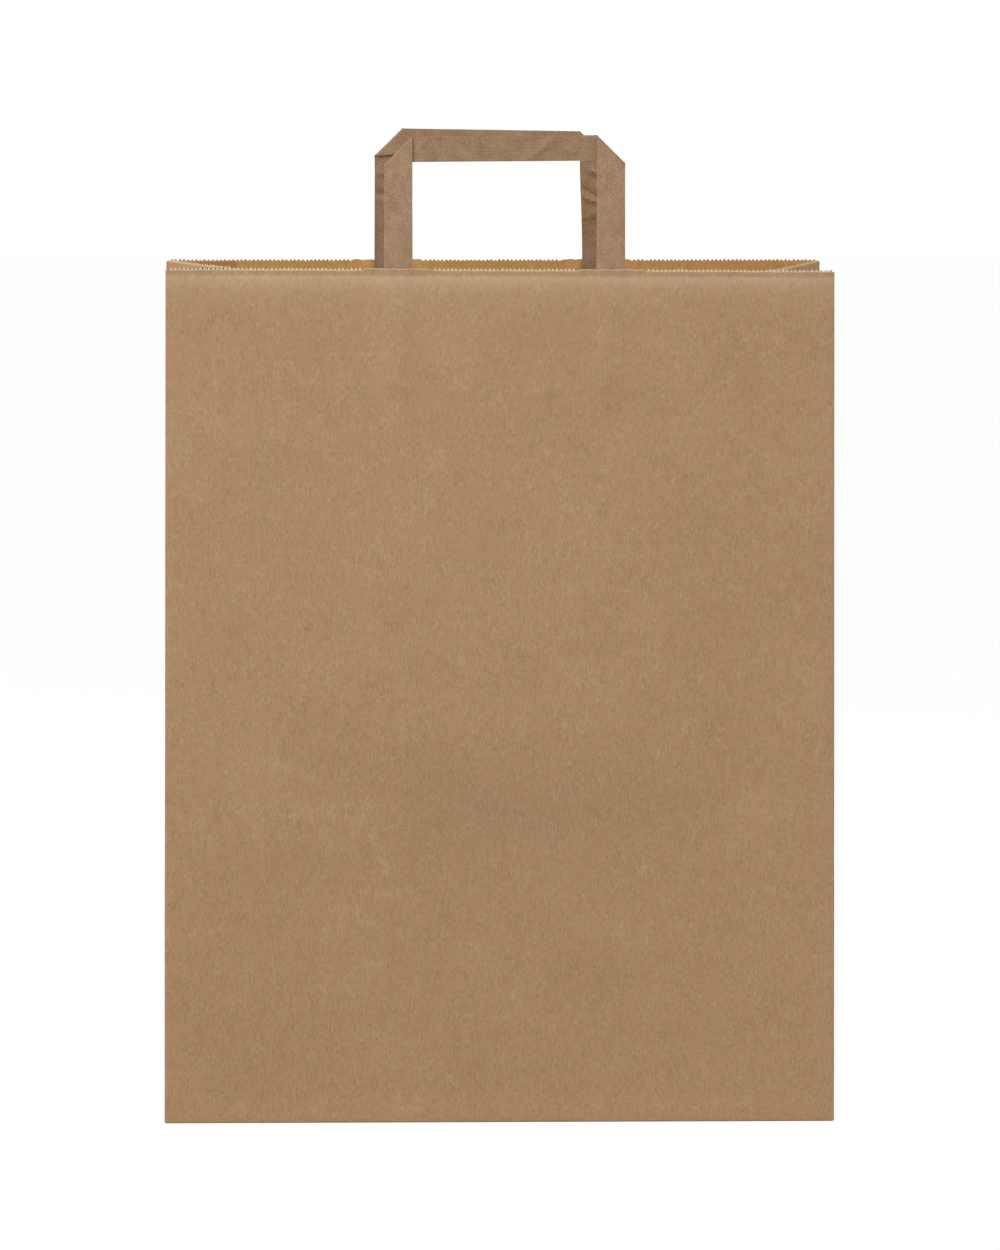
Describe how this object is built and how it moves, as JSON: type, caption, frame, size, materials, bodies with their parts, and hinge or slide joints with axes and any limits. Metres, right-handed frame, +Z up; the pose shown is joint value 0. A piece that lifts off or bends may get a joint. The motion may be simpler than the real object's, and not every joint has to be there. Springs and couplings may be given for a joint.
{
  "type": "paper carrier bag",
  "caption": "Open brown paper carrier bag with a block bottom, tucked side gussets, a pinked top edge and flat folded tape handles glued inside both walls.",
  "frame": {"origin": "middle of the base, on the ground the bag stands on", "axes": "+Z up through the mouth, -Y out of the front wall, +X to the right as seen from the front"},
  "size_m": [0.32, 0.12, 0.4749],
  "materials": {
    "kraft_paper": "machine-finished, matt",
    "handle_tape": "finely ribbed, matt",
    "patch_paper": "unglazed, matt"
  },
  "bodies": {
    "root": {"bag_body": "kraft_paper", "front_handle": "handle_tape", "rear_handle": "handle_tape", "front_handle_patch": "patch_paper", "rear_handle_patch": "patch_paper"}
  },
  "joints": []
}
